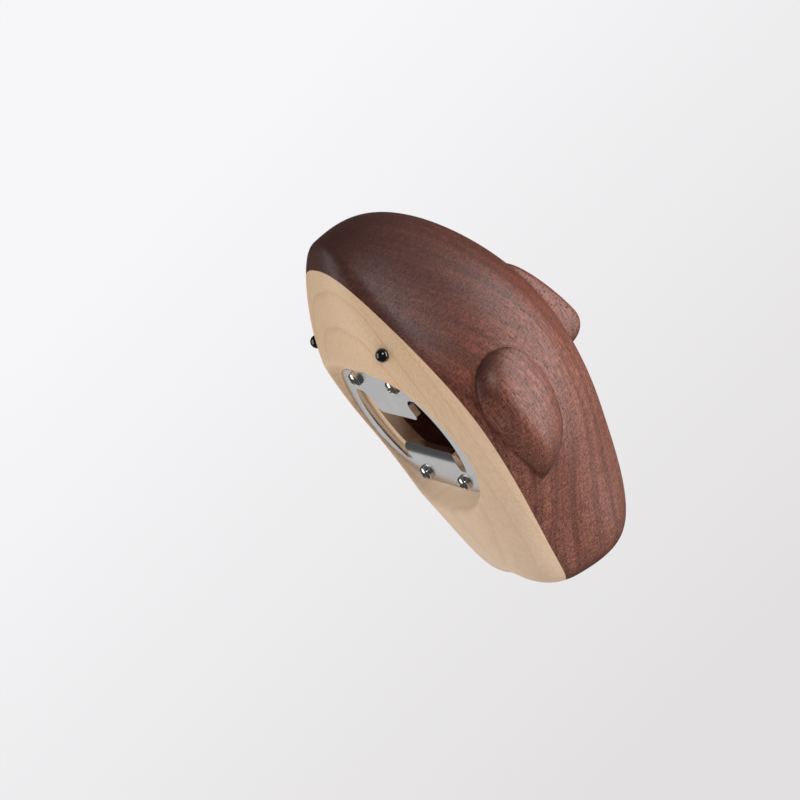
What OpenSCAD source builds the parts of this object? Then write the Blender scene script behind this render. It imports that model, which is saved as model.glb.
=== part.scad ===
// Whale-shaped bottle opener: a dark back and a pale belly glued face to face,
// a fin let into the back, and a steel opener plate screwed into the mouth.
// +X is the nose, +Y the left side, +Z up. The belly rests on Z = 0.

/* [Body] */
// Length from the nose to the tail, at the widest level
body_length = 104; // [96:1:112]
// Height of the glue line above the table
seam_height = 9; // [8:0.5:10]
// How far above the glue line the body is widest
widest_above_seam = 5.2; // [4:0.2:6]
// Half-width at the tail, before the end is rounded
half_width_tail = 18.5; // [17:0.5:20]
// Half-width a quarter of the way forward
half_width_rear = 21.5; // [20:0.5:24]
// Half-width in the middle
half_width_mid = 28.5; // [28:0.5:31]
// Half-width three quarters of the way forward
half_width_front = 26; // [24:0.5:28]
// Half-width at the nose, before the end is rounded
half_width_nose = 22; // [20:0.5:24]
// Height of the back over the widest level at the tail
back_tail = 21; // [19:0.5:23]
// Height of the back a quarter of the way forward
back_rear = 29.5; // [28:0.5:31]
// Height of the back in the middle
back_mid = 33.5; // [32:0.5:36]
// Height of the back three quarters of the way forward
back_front = 32; // [30:0.5:34]
// Height of the back at the nose, before the end is rounded
back_nose = 29.5; // [27:0.5:31]
// Depth of the belly under the widest level at the tail
belly_tail = 19.5; // [18:0.5:21]
// Depth of the belly a quarter of the way forward
belly_rear = 15; // [14.6:0.2:16]
// Depth of the belly in the middle
belly_mid = 16; // [15.5:0.5:17]
// Depth of the belly three quarters of the way forward
belly_front = 16.5; // [16:0.5:18]
// Depth of the belly at the nose, before the end is rounded
belly_nose = 10; // [9:0.5:12]

/* [Tail] */
// Depth of the notch between the two tail lobes
notch_depth = 4; // [2:0.5:5]
// Half-width of the notch
notch_width = 7; // [5:0.5:9]
// How far the tail face leans back for each millimetre of height
tail_lean = 0.25; // [0.1:0.05:0.3]

/* [Dorsal fin] */
// Height of the fin over its base line
fin_height = 8.8; // [7:0.2:10]
// Reach of the fin's long front edge from its crest
fin_front_reach = 22.5; // [18:0.5:24]
// Reach of the fin's steep rear edge from its crest
fin_rear_reach = 5.2; // [4:0.2:7]
// Thickness of the fin at its base
fin_thickness = 8; // [6:0.5:9]
// Depth of the slot that holds the fin's root
fin_slot_depth = 7; // [5:0.5:8]

/* [Side fins] */
// How far each side fin stands out from the flank
side_fin_relief = 4.7; // [3.5:0.1:5]
// Half the height of a side fin
side_fin_half_height = 9.3; // [8:0.1:10]
// Length of a side fin in front of its deepest point
side_fin_front = 12; // [10:0.5:13]
// Length of a side fin behind its deepest point
side_fin_rear = 21; // [18:0.5:22]

/* [Opener plate] */
// Radius of the plate
plate_radius = 22.9; // [22.5:0.1:23]
// Half the distance between the plate's two flats
plate_half_length = 17.5; // [17:0.1:18]
// Radius of the plate's four corners
plate_corner = 10; // [8:0.5:11]
// Thickness of the steel
plate_thickness = 1.5; // [1.2:0.1:2]
// Radius of the opening
opening_radius = 18.5; // [18:0.1:19]
// Half-length of the opening, tongues left out
opening_half_length = 11; // [10.5:0.5:11]
// Gap between the two tongues' tips
cap_gap = 10.7; // [10:0.1:12]
// Half-width of the lifting tongue, which hooks under the cap
lifting_half_width = 12.2; // [11:0.1:13]
// Half-width of the pressing tongue, which bears on the cap's top
pressing_half_width = 9.5; // [8:0.5:10]

/* [Mouth] */
// Half-length of the mouth at the belly's surface
mouth_half_length = 24.7; // [23:0.1:26]
// Half-width of the mouth at the belly's surface
mouth_half_width = 24.4; // [24:0.1:26]
// Radius of the bored recess that the cap tips into
recess_radius = 15; // [14.5:0.1:15.2]
// Depth of the recess above the glue line
recess_depth = 6; // [4:0.5:8]

/* [Screws] */
// Spacing of the screws along the body
screw_spacing_long = 30; // [29.5:0.1:30.4]
// Spacing of the screws across the body
screw_spacing_wide = 19; // [18.6:0.2:20]
// Diameter of a screw's head
screw_head_diameter = 3.9; // [3.6:0.1:4.6]
// Height of a screw's head
screw_head_height = 1.5; // [1.2:0.1:1.8]
// Diameter of a screw's shank
screw_shank_diameter = 2.4; // [2:0.1:2.5]
// Length of a screw's shank
screw_length = 10; // [8:0.5:12]
// Length of each arm pair of the cross recess
cross_length = 2.4; // [2:0.1:3]
// Width of the cross recess
cross_width = 0.6; // [0.4:0.1:0.8]
// Depth of the cross recess
cross_depth = 0.9; // [0.6:0.1:1.1]

/* [Eyes] */
// Distance of the eyes in front of the middle
eye_forward = 28; // [27:0.5:30]
// Distance of each eye from the centre plane
eye_side = 17; // [16:0.5:18]
// Diameter of an eye bead
eye_diameter = 3.3; // [3:0.1:3.6]
// Length of the peg behind the bead
eye_peg_length = 4; // [3:0.5:4.5]

/* [Hidden] */
$fn = 64;

WALNUT = "#5a3a33";
MAPLE = "#dcc19c";
STEEL = "#b8b8ba";
BLACK = "#101012";
// Size of the cutting blocks, and the overlap that keeps two faces from coinciding
BIG = 300;
EASE = 0.05;

// The body's stations run from the tail to the nose.
HALF_WIDTHS = [half_width_tail, half_width_rear, half_width_mid, half_width_front, half_width_nose];
BACKS = [back_tail, back_rear, back_mid, back_front, back_nose];
BELLIES = [belly_tail, belly_rear, belly_mid, belly_front, belly_nose];
half_length = body_length / 2;
widest_z = seam_height + widest_above_seam;

// Roundness of the ends: [nose, tail]. 2 is a circle and higher is squarer.
PLAN_END = [2.1, 4.3];
BACK_END = [2.45, 5.5];
BELLY_END = [2.1, 3.3];
// Roundness of the cross-section over and under the widest level
UPPER_ROUND = 2.3;
LOWER_ROUND = 2.35;
TAIL_SQUARENESS = 0.4;
// The tail's notch and lean grow from here, as a part of the half-length, to the end.
TAIL_START = 0.45;
// The skin's rings run from the tail to the nose, closer together along the side fins. Each place is
// an angle t, in degrees, at u = -cos(t).
RING_PLACES = [each [4 : 4 : 64], each [66 : 2 : 108], each [112 : 4 : 176]];
// Angles round the left flank from below, closer together across the side fin, and round the ring
FLANK_ANGLES = [each [-90 : 10 : -20], each [-10 : 2.5 : 27.5], each [30 : 10 : 80]];
ring_angles = [each FLANK_ANGLES, 90, for (k = [len(FLANK_ANGLES) - 1 : -1 : 1]) 180 - FLANK_ANGLES[k]];

// Side fin: its deepest point, and how far and how suddenly its midline drops to the tip
SIDE_FIN_X = 2.5;
SIDE_FIN_Z = 20.3;
SIDE_FIN_DROP = 4.5;
SIDE_FIN_DROP_CURVE = 6;
// Roundness of its outline in front of and behind the deepest point, and of its rear end
SIDE_FIN_PLAN = [2.2, 1.8];
SIDE_FIN_END = 5;
// Roundness of its lower and front faces, and of the low step along its upper edge
SIDE_FIN_STEEP = 2.2;
SIDE_FIN_CRISP = 14;
// Its outer face falls from a ridge, at this part of the half-height, to the step's height.
SIDE_FIN_RIDGE = -0.5;
SIDE_FIN_STEP = 0.25;
SIDE_FIN_FALL = 1.4;
// The step fades out over this length in front.
SIDE_FIN_STEP_END = 6.5;
SIDE_FIN_STEP_FADE = 9;
// Direction over the midline, in degrees, up to which the front face stays steep
SIDE_FIN_TURN = 30;

// Dorsal fin: its crest and the base line that its height is measured from
FIN_CREST_X = -5;
FIN_BASE_Z = 46;
FIN_LEVELS = 9;
FIN_POINTS = 32;
// Its front edge, rear edge and thickness fade with height by these exponents.
FIN_FRONT_CURVE = [1.7, 1.2];
FIN_REAR_CURVE = 3.5;
FIN_THICK_CURVE = 2.6;
FIN_TAPER = 0.25;
// How square its outline is along and across, where 1 is an ellipse
FIN_OVAL = [0.9, 0.8];
fin_slot_z = FIN_BASE_Z - fin_slot_depth;
fin_middle_x = FIN_CREST_X + (fin_front_reach - fin_rear_reach) / 2;

// Mouth: the plate's outer face looks down, and the bowl flares from it to the belly.
PLATE_X = 2.5;
PLATE_UNDER_SEAM = 4.9;
plate_face_z = seam_height - PLATE_UNDER_SEAM;
// Centre of a corner's arc, which is the same at every growth of the outline
corner_x = plate_half_length - plate_corner;
corner_y = sqrt(pow(plate_radius - plate_corner, 2) - corner_x * corner_x);
LIFTING_TIP = 6.2;
pressing_tip_x = cap_gap - LIFTING_TIP;
TONGUE_CORNER = 1.5;
PRESSING_FILLET = 3.5;
PLATE_CLEARANCE = 0.15;
BOWL_LEVELS = 6;
BOWL_POINTS = 96;
// The bowl's wall flares by this exponent, and its edge is this round and this far forward.
WALL_CURVE = 0.8;
RIM_ROUND = 2.5;
RIM_FORWARD = 1.2;
BELOW_TABLE = 2;
bowl_depth = plate_face_z + BELOW_TABLE;

// Point k of an even spread of five stations over [-1, 1]
function station(k) = -1 + k / 2;

// Smooth curve through five station values at u
function through(values, u) =
    let (weights = [for (k = [0 : 4]) weight(k, u, 0)])
    weights * values;
function weight(k, u, j) =
    j > 4 ? 1
    : (j == k ? 1 : (u - station(j)) / (station(k) - station(j))) * weight(k, u, j + 1);

// Rounds both ends: 1 in the middle and 0 at u = -1 and u = 1
function rounded_ends(u, ends) =
    let (n = u > 0 ? ends[0] : ends[1])
    pow(max(0, 1 - pow(min(1, abs(u)), n)), 1 / n);

function half_width(u) = through(HALF_WIDTHS, u) * rounded_ends(u, PLAN_END);
function back_height(u) = through(BACKS, u) * rounded_ends(u, BACK_END);
function belly_depth(u) = through(BELLIES, u) * rounded_ends(u, BELLY_END);

// 0 below 0, 1 above 1 and no kink between
function smooth(v) =
    let (w = min(1, max(0, v)))
    w * w * (3 - 2 * w);

// 0 in front of the tail's start, and 1 at its end
function tail_blend(u) = smooth((-u - TAIL_START) / (1 - TAIL_START));

// Lower cross-section's roundness, squarer towards the tail
function lower_round(u) = LOWER_ROUND + TAIL_SQUARENESS * pow(max(0, -u), 2);

function signed_pow(v, p) = sign(v) * pow(abs(v), p);

// A bump that is 1 at e = 0 and ends at e = 1
function bump(e, round, end) = pow(max(0, 1 - pow(e, round)), end);

// Part of the relief at e = 0 to 1 from the side fin's middle to its edge and across = -1 to 1
function outer_face(e, across, crisp, x) =
    let (edge = (1 - crisp) * bump(e, SIDE_FIN_STEEP, 0.5) + crisp * bump(e, SIDE_FIN_CRISP, 0.5),
         step = SIDE_FIN_STEP * smooth((SIDE_FIN_STEP_END - x) / SIDE_FIN_STEP_FADE),
         over = max(0, (across - SIDE_FIN_RIDGE) / (1 - SIDE_FIN_RIDGE)))
    edge * (1 - (1 - step) * pow(over, SIDE_FIN_FALL));

// In front of the deepest point, v is the part of the fin's length and t that of its half-height.
// The steep lower face turns round the front edge and fades into the upper one.
function side_fin_ahead(v, t, x) =
    let (n = SIDE_FIN_PLAN[0],
         e = min(1, pow(pow(v, n) + pow(abs(t), n), 1 / n)),
         turn = atan2(t, v))
    outer_face(e, e * sin(turn), smooth((turn - SIDE_FIN_TURN) / (90 - SIDE_FIN_TURN)), x);

// Behind it, the midline drops towards the rounded tip.
function side_fin_behind(v, t, x) =
    let (n = SIDE_FIN_PLAN[1],
         half = max(EASE, pow(max(0, 1 - pow(v, n)), 1 / n)),
         across = max(-1, min(1, t / half)))
    bump(v, SIDE_FIN_END, 0.5) * outer_face(abs(across), across, across < 0 ? 0 : 1, x);

// Side fin's relief at a point of the flank: 0 outside its leaf-shaped outline
function side_fin(x, z) =
    let (v = (x - SIDE_FIN_X) / (x > SIDE_FIN_X ? side_fin_front : side_fin_rear),
         w = min(1, abs(v)),
         drop = x > SIDE_FIN_X ? 0 : SIDE_FIN_DROP * pow(w, SIDE_FIN_DROP_CURVE),
         t = (z - SIDE_FIN_Z + drop) / side_fin_half_height)
    side_fin_relief * (v > 0 ? side_fin_ahead(w, t, x) : side_fin_behind(w, t, x));

// Point of the body's skin at u along it and angle a around it
function skin(u, a) =
    let (upper = sin(a) >= 0,
         n = upper ? UPPER_ROUND : lower_round(u),
         y = half_width(u) * signed_pow(cos(a), 2 / n),
         z = widest_z + (upper ? back_height(u) : belly_depth(u)) * signed_pow(sin(a), 2 / n),
         notch = notch_depth * exp(-pow(y / notch_width, 2)),
         lean = tail_lean * (widest_z - z))
    [half_length * u + (notch + lean) * tail_blend(u), y, z];

// The same point, with the side fins standing out of the flanks
function finned_skin(u, a) =
    let (p = skin(u, a))
    [p[0], p[1] + sign(p[1]) * side_fin(p[0], p[2]), p[2]];

// Height of the belly's skin at a place ahead of the tail
function belly_z(x, y) =
    let (u = x / half_length, n = lower_round(u))
    widest_z - belly_depth(u) * pow(1 - pow(abs(y) / half_width(u), n), 1 / n);

// Faces of a stack of rings, closed by a point at each end
function stack_faces(rings, points) = concat(
    [for (i = [0 : rings - 2], j = [0 : points - 1])
        let (a = i * points + j, b = i * points + (j + 1) % points)
        each [[a, b + points, b], [a, a + points, b + points]]],
    [for (j = [0 : points - 1]) [rings * points, j, (j + 1) % points]],
    [for (j = [0 : points - 1])
        let (base = (rings - 1) * points)
        [rings * points + 1, base + (j + 1) % points, base + j]]);

// The whole body, before it is split at the glue line
module body_form() {
    rings = [for (t = RING_PLACES, a = ring_angles) finned_skin(-cos(t), a)];
    ends = [skin(-1, 0), skin(1, 0)];
    polyhedron(concat(rings, ends), stack_faces(len(RING_PLACES), len(ring_angles)));
}

module above_seam() {
    translate([-BIG / 2, -BIG / 2, seam_height]) cube(BIG);
}

module below_seam() {
    translate([-BIG / 2, -BIG / 2, seam_height - BIG]) cube(BIG);
}

// Outline of the dorsal fin at a height: an oval, rounder than an ellipse
function fin_ring(front, rear, thickness, z) =
    let (middle = FIN_CREST_X + (front - rear) / 2)
    [for (j = [0 : FIN_POINTS - 1])
        let (a = 360 * j / FIN_POINTS)
        [middle + (front + rear) / 2 * signed_pow(cos(a), FIN_OVAL[0]),
         thickness / 2 * signed_pow(sin(a), FIN_OVAL[1]),
         z]];

// Reach of the fin's edges and its thickness at a height from 0, base, to 1, crest
function fin_front(h) = fin_front_reach * bump(h, FIN_FRONT_CURVE[0], 1 / FIN_FRONT_CURVE[1]);
function fin_rear(h) = fin_rear_reach * bump(h, FIN_REAR_CURVE, 0.5);
function fin_thick(h) = fin_thickness * bump(h, FIN_THICK_CURVE, 0.5) * (1 - FIN_TAPER * h);

module fin_blade() {
    heights = [for (i = [0 : FIN_LEVELS - 1]) sin(90 * i / FIN_LEVELS)];
    root = fin_ring(fin_front_reach, fin_rear_reach, fin_thickness, fin_slot_z);
    blade = [for (h = heights)
        each fin_ring(fin_front(h), fin_rear(h), fin_thick(h), FIN_BASE_Z + h * fin_height)];
    bottom = [fin_middle_x, 0, fin_slot_z];
    top = [FIN_CREST_X, 0, FIN_BASE_Z + fin_height];
    polyhedron(concat(root, blade, [bottom, top]), stack_faces(FIN_LEVELS + 1, FIN_POINTS));
}

// Slot in the back, of the fin's own outline
module fin_slot() {
    outline = fin_ring(fin_front_reach, fin_rear_reach, fin_thickness, 0);
    translate([0, 0, fin_slot_z]) linear_extrude(BIG) polygon([for (p = outline) [p[0], p[1]]]);
}

// Plate outline: a disc with two flats, whose corners are arcs that meet both
module plate_outline(grow = 0) {
    r = plate_radius + grow;
    tangent_x = corner_x * r / (plate_radius - plate_corner);
    intersection() {
        circle(r);
        square([2 * tangent_x, 2 * r], center = true);
    }
    square([2 * (plate_half_length + grow), 2 * corner_y], center = true);
    for (sx = [-1, 1], sy = [-1, 1]) translate([sx * corner_x, sy * corner_y])
        circle(plate_corner + grow, $fn = 48);
}

// A tongue that runs from the edge of the opening to its tip at x = tip
module tongue(tip, half_width) {
    length = opening_radius - tip;
    translate([tip + TONGUE_CORNER, -half_width]) square([length, 2 * half_width]);
    translate([tip, -half_width + TONGUE_CORNER]) square([length, 2 * (half_width - TONGUE_CORNER)]);
    for (s = [-1, 1]) translate([tip + TONGUE_CORNER, s * (half_width - TONGUE_CORNER)])
        circle(TONGUE_CORNER, $fn = 32);
}

// Fillets where the pressing tongue grows out of the plate
module tongue_fillets(root, half_width, r) {
    for (s = [-1, 1]) difference() {
        translate([root - r, s * (half_width + r / 2) - r / 2]) square([r, r]);
        translate([root - r, s * (half_width + r)]) circle(r, $fn = 48);
    }
}

module plate_opening() {
    difference() {
        intersection() {
            circle(opening_radius);
            square([2 * opening_half_length, 2 * opening_radius], center = true);
        }
        mirror([1, 0]) tongue(LIFTING_TIP, lifting_half_width);
        tongue(pressing_tip_x, pressing_half_width);
        tongue_fillets(opening_half_length, pressing_half_width, PRESSING_FILLET);
    }
}

// Places a screw hole, screw or pilot at one corner of the pattern
module at_screw(sx, sy) {
    translate([PLATE_X + sx * screw_spacing_long / 2, sy * screw_spacing_wide / 2, plate_face_z])
        children();
}

module pilot_holes() {
    for (sx = [-1, 1], sy = [-1, 1]) at_screw(sx, sy)
        cylinder(h = screw_length, d = screw_shank_diameter, $fn = 32);
}

// Distance from the plate's centre to its edge in direction a
function plate_reach(a) =
    let (c = abs(cos(a)), s = abs(sin(a)), toward = c * corner_x + s * corner_y)
    s * corner_x >= c * corner_y ? plate_radius
    : s * plate_half_length <= c * corner_y ? plate_half_length / c
    : toward + sqrt(pow(plate_corner, 2) - pow(plate_radius - plate_corner, 2) + pow(toward, 2));

// Distance from the plate's centre to the bowl's edge in direction a
function rim_reach(a) =
    let (along = pow(abs(cos(a)) / mouth_half_length, RIM_ROUND),
         across = pow(abs(sin(a)) / mouth_half_width, RIM_ROUND))
    pow(along + across, -1 / RIM_ROUND) + RIM_FORWARD * cos(a);

// Flared bowl from the plate's seat down through the belly
module mouth_bowl() {
    rings = [for (i = [0 : BOWL_LEVELS - 1], j = [0 : BOWL_POINTS - 1])
        let (part = i / (BOWL_LEVELS - 1),
             a = -360 * j / BOWL_POINTS,
             seat = plate_reach(a) + PLATE_CLEARANCE + EASE,
             r = seat + (rim_reach(a) - seat) * pow(part, WALL_CURVE))
        [PLATE_X + r * cos(a), r * sin(a), plate_face_z - part * bowl_depth]];
    top = [PLATE_X, 0, plate_face_z];
    bottom = [PLATE_X, 0, plate_face_z - bowl_depth];
    polyhedron(concat(rings, [top, bottom]), stack_faces(BOWL_LEVELS, BOWL_POINTS));
}

module cap_recess() {
    top = seam_height + recess_depth;
    translate([PLATE_X, 0, plate_face_z]) cylinder(h = top - plate_face_z, r = recess_radius);
}

// Outward direction of the belly's skin at an eye
function eye_normal(sy) =
    let (x = eye_forward, y = sy * eye_side, d = 0.1,
         slope_x = (belly_z(x + d, y) - belly_z(x - d, y)) / (2 * d),
         slope_y = (belly_z(x, y + d) - belly_z(x, y - d)) / (2 * d),
         n = [slope_x, slope_y, -1])
    n / norm(n);

// Turns +Z into the skin's outward direction at an eye
module at_eye(sy) {
    n = eye_normal(sy);
    translate([eye_forward, sy * eye_side, belly_z(eye_forward, eye_side)])
        rotate([0, acos(n[2]), atan2(n[1], n[0])]) children();
}

module eye_shape() {
    sphere(d = eye_diameter);
    translate([0, 0, -eye_peg_length]) cylinder(h = eye_peg_length, d = eye_diameter / 2, $fn = 32);
}

module walnut_back() {
    color(WALNUT) difference() {
        intersection() {
            body_form();
            above_seam();
        }
        cap_recess();
        pilot_holes();
        fin_slot();
    }
}

module maple_belly() {
    color(MAPLE) difference() {
        intersection() {
            body_form();
            below_seam();
            translate([-BIG / 2, -BIG / 2, 0]) cube(BIG);
        }
        translate([PLATE_X, 0, plate_face_z - EASE]) linear_extrude(plate_thickness + EASE)
            plate_outline(PLATE_CLEARANCE);
        mouth_bowl();
        cap_recess();
        pilot_holes();
        for (sy = [-1, 1]) at_eye(sy) eye_shape();
    }
}

module dorsal_fin() {
    color(WALNUT) fin_blade();
}

module opener_plate() {
    color(STEEL) difference() {
        translate([PLATE_X, 0, plate_face_z]) linear_extrude(plate_thickness) difference() {
            plate_outline();
            plate_opening();
        }
        pilot_holes();
    }
}

// Two crossed slots in the top of a screw's head
module cross_recess() {
    for (turn = [0, 90]) rotate(turn)
        translate([-cross_length / 2, -cross_width / 2, -screw_head_height - EASE])
            cube([cross_length, cross_width, cross_depth + EASE]);
}

// Cross-head screw with a domed head, its shank pointing up
module screw(sx, sy) {
    r = screw_head_diameter / 2;
    dome = (r * r + screw_head_height * screw_head_height) / (2 * screw_head_height);
    color(STEEL) at_screw(sx, sy) {
        difference() {
            intersection() {
                translate([0, 0, -screw_head_height]) cylinder(h = screw_head_height, r = r);
                translate([0, 0, dome - screw_head_height]) sphere(dome);
            }
            cross_recess();
        }
        cylinder(h = screw_length, d = screw_shank_diameter, $fn = 32);
    }
}

module eye(sy) {
    color(BLACK) at_eye(sy) eye_shape();
}

walnut_back();
maple_belly();
dorsal_fin();
opener_plate();
screw(1, 1);  // screw_nose_left
screw(1, -1);  // screw_nose_right
screw(-1, 1);  // screw_tail_left
screw(-1, -1);  // screw_tail_right
eye(1);  // eye_left
eye(-1);  // eye_right
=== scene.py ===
import math

import bmesh
import bpy
import numpy as np
from mathutils import Matrix, Vector


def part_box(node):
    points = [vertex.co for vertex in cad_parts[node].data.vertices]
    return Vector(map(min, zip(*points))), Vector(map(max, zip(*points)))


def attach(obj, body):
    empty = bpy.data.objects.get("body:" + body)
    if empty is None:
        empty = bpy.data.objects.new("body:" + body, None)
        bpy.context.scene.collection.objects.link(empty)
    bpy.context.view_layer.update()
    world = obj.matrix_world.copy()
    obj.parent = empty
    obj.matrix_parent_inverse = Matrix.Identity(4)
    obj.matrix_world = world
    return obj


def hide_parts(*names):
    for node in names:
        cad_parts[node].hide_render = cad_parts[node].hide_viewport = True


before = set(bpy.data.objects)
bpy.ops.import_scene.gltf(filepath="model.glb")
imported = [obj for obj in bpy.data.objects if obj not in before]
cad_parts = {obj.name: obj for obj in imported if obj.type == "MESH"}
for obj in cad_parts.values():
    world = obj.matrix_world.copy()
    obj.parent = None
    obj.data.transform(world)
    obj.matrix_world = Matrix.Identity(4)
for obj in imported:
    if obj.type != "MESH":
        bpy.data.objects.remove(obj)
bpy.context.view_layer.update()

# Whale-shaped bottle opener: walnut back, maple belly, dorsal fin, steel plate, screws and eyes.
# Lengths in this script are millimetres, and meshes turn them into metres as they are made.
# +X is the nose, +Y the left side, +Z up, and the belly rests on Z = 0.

MM = 0.001
# Steps of a search that halves its range each time, and the snap distance of a flat cut, in metres
HALVINGS = 40
SNAP = 1e-7


def box_mm(node):
    """Lowest and highest corner of a CAD node, in millimetres."""
    low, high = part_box(node)
    return np.array(low) / MM, np.array(high) / MM


# ---------------------------------------------------------------- driving sizes

PLATE_LOW, PLATE_HIGH = box_mm("opener_plate")

HALF_LENGTH = 52.0
SEAM_Z = box_mm("walnut_back")[0][2]
WIDEST_Z = SEAM_Z + 5.2
# Half-width, height over and depth under the widest level, at five stations from tail to nose
HALF_WIDTHS = (18.5, 21.5, 28.5, 26.0, 22.0)
BACKS = (21.0, 29.5, 33.5, 32.0, 29.5)
BELLIES = (19.5, 15.0, 16.0, 16.5, 10.0)
# Roundness of the ends, (nose, tail), and of the cross-section
PLAN_END = (2.1, 4.3)
BACK_END = (2.45, 5.5)
BELLY_END = (2.1, 3.3)
UPPER_ROUND = 2.3
LOWER_ROUND = 2.35
TAIL_SQUARENESS = 0.4
TAIL_START = 0.45
NOTCH_DEPTH = 4.0
NOTCH_WIDTH = 7.0
TAIL_LEAN = 0.25

SIDE_FIN_X = 2.5
SIDE_FIN_Z = 20.3
SIDE_FIN_DROP = 4.5
SIDE_FIN_DROP_CURVE = 6
SIDE_FIN_RELIEF = 4.7
SIDE_FIN_HALF_HEIGHT = 9.3
SIDE_FIN_FRONT = 12.0
SIDE_FIN_REAR = 21.0
# Roundness of its outline in front of and behind its deepest point, and of its rear end
SIDE_FIN_PLAN = (2.2, 1.8)
SIDE_FIN_END = 5
# Roundness of its lower and front faces, and of the low step along its upper edge
SIDE_FIN_STEEP = 2.2
SIDE_FIN_CRISP = 14
# Its outer face falls from a ridge, at this part of the half-height, to the step's height
SIDE_FIN_RIDGE = -0.5
SIDE_FIN_STEP = 0.25
SIDE_FIN_FALL = 1.4
# The step fades out over this length in front
SIDE_FIN_STEP_END = 6.5
SIDE_FIN_STEP_FADE = 9.0
# Direction over the midline, in degrees, up to which its front face stays steep
SIDE_FIN_TURN = 30
# Least half-height of the mesh's band across the fin, and of the fin itself
SIDE_FIN_BLUNT = 1.2
THIN = 0.1

# Rings of the body's mesh, and their points under, across and over a side fin
BODY_RINGS = 340
UNDER_POINTS = 40
FIN_SPAN_POINTS = 64
OVER_POINTS = 84
BELLY_POINTS = 560
BELLY_RINGS = 110
RECESS_POINTS = 160
PLATE_POINTS = 240

FIN_CREST_X = -5.0
FIN_HEIGHT = 8.8
FIN_BASE_Z = box_mm("dorsal_fin")[1][2] - FIN_HEIGHT
FIN_FRONT_REACH = 22.5
FIN_REAR_REACH = 5.2
FIN_THICKNESS = 8.0
FIN_ROOT_DEPTH = 7.0
# Its front edge, rear edge and thickness fade with height by these exponents
FIN_FRONT_CURVE = (1.7, 1.2)
FIN_REAR_CURVE = 3.5
FIN_THICK_CURVE = 2.6
FIN_TAPER = 0.25
# How square its outline is along and across, where 1 is an ellipse
FIN_OVAL = (0.9, 0.8)
FIN_POINTS = 120
FIN_LEVELS = 60

PLATE_X = (PLATE_LOW[0] + PLATE_HIGH[0]) / 2
PLATE_FACE_Z = PLATE_LOW[2]
PLATE_THICKNESS = PLATE_HIGH[2] - PLATE_LOW[2]
PLATE_FLAT = (PLATE_HIGH[0] - PLATE_LOW[0]) / 2
PLATE_RADIUS = (PLATE_HIGH[1] - PLATE_LOW[1]) / 2
PLATE_CORNER = 10.0
PLATE_CLEARANCE = 0.15
OPENING_RADIUS = 18.5
OPENING_FLAT = 11.0
CAP_GAP = 10.7
LIFTING_TIP = 6.2
LIFTING_HALF_WIDTH = 12.2
PRESSING_TIP = CAP_GAP - LIFTING_TIP
PRESSING_HALF_WIDTH = 9.5
TONGUE_CORNER = 1.5
PRESSING_FILLET = 3.5
TIP_CURL = 0.8
TIP_CURL_LENGTH = 3.2
TIP_CURL_STEPS = 8
PLATE_EDGE_RADIUS = 0.16
PLATE_HOLE_RADIUS = 1.3

RIM_DEPTH = 6.1
RIM_HALF_LENGTH = 24.7
RIM_HALF_WIDTH = 24.4
RIM_ROUND = 2.5
RIM_FORWARD = 1.2
WALL_CURVE = 0.8
# Rounding of the bowl's rim, and of the edge of the flat under the belly
RIM_SOFTNESS = 1.1
BELLY_SOFTNESS = 0.6
# The glue line lies between these distances from the plate's centre
SEAM_NEAREST = 20.0
SEAM_FARTHEST = 70.0
RECESS_RADIUS = 15.0
RECESS_DEPTH = 6.0

SCREW_HEAD_RADIUS = 1.95
SCREW_HEAD_HEIGHT = 1.5
SCREW_RIM_HEIGHT = 0.5
SCREW_SHANK_RADIUS = 1.2
SCREW_LENGTH = 10.0
SCREW_TIP_LENGTH = 0.6
THREAD_PITCH = 1.0
THREAD_DEPTH = 0.28
# Plain stretches of the shank under the head and at the tip
THREAD_START = 1.5
THREAD_STOP = SCREW_LENGTH - 1.2
# Cross recess: half its length and width at its mouth and at its bottom, and its height range
CROSS_MOUTH = (1.25, 0.34)
CROSS_BOTTOM = (0.6, 0.2)
CROSS_LOW = -SCREW_HEAD_HEIGHT - 0.3
CROSS_HIGH = -0.45
# Turn of the first screw's cross, and how much further each next one is turned
CROSS_TURN = 20
CROSS_TURN_STEP = 37

EYE_X = 28.0
EYE_Y = 17.0
EYE_RADIUS = 1.65
EYE_PEG_LENGTH = 4.0


# ---------------------------------------------------------------- body shape

def through(values, u):
    """Smooth curve through station values spread evenly over [-1, 1]."""
    stations = np.linspace(-1, 1, len(values))
    total = np.zeros_like(u)
    for k, value in enumerate(values):
        weight = np.ones_like(u)
        for j, other in enumerate(stations):
            if j != k:
                weight = weight * (u - other) / (stations[k] - other)
        total = total + value * weight
    return total


def rounded_ends(u, ends):
    """1 in the middle and 0 at both ends, rounded by the exponents (nose, tail)."""
    n = np.where(u > 0, ends[0], ends[1])
    return np.clip(1 - np.minimum(1, np.abs(u)) ** n, 0, 1) ** (1 / n)


# Half-width, height over and depth under the widest level, at u from -1, tail, to 1, nose
def half_width(u):
    return through(HALF_WIDTHS, u) * rounded_ends(u, PLAN_END)


def back_height(u):
    return through(BACKS, u) * rounded_ends(u, BACK_END)


def belly_depth(u):
    return through(BELLIES, u) * rounded_ends(u, BELLY_END)


def lower_round(u):
    """The lower cross-section's roundness, squarer towards the tail."""
    return LOWER_ROUND + TAIL_SQUARENESS * np.maximum(0, -u) ** 2


def tail_blend(u):
    """0 in front of the tail's start, and 1 at its end."""
    return smooth((-u - TAIL_START) / (1 - TAIL_START))


def tail_shift(u, y, z):
    """How far the notch and the lean move a point of the tail forward."""
    notch = NOTCH_DEPTH * np.exp(-(y / NOTCH_WIDTH) ** 2)
    return (notch + TAIL_LEAN * (WIDEST_Z - z)) * tail_blend(u)


def smooth(v):
    """0 below 0, 1 above 1 and no kink between."""
    v = np.clip(v, 0, 1)
    return v * v * (3 - 2 * v)


def signed_pow(v, p):
    return np.sign(v) * np.abs(v) ** p


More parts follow.
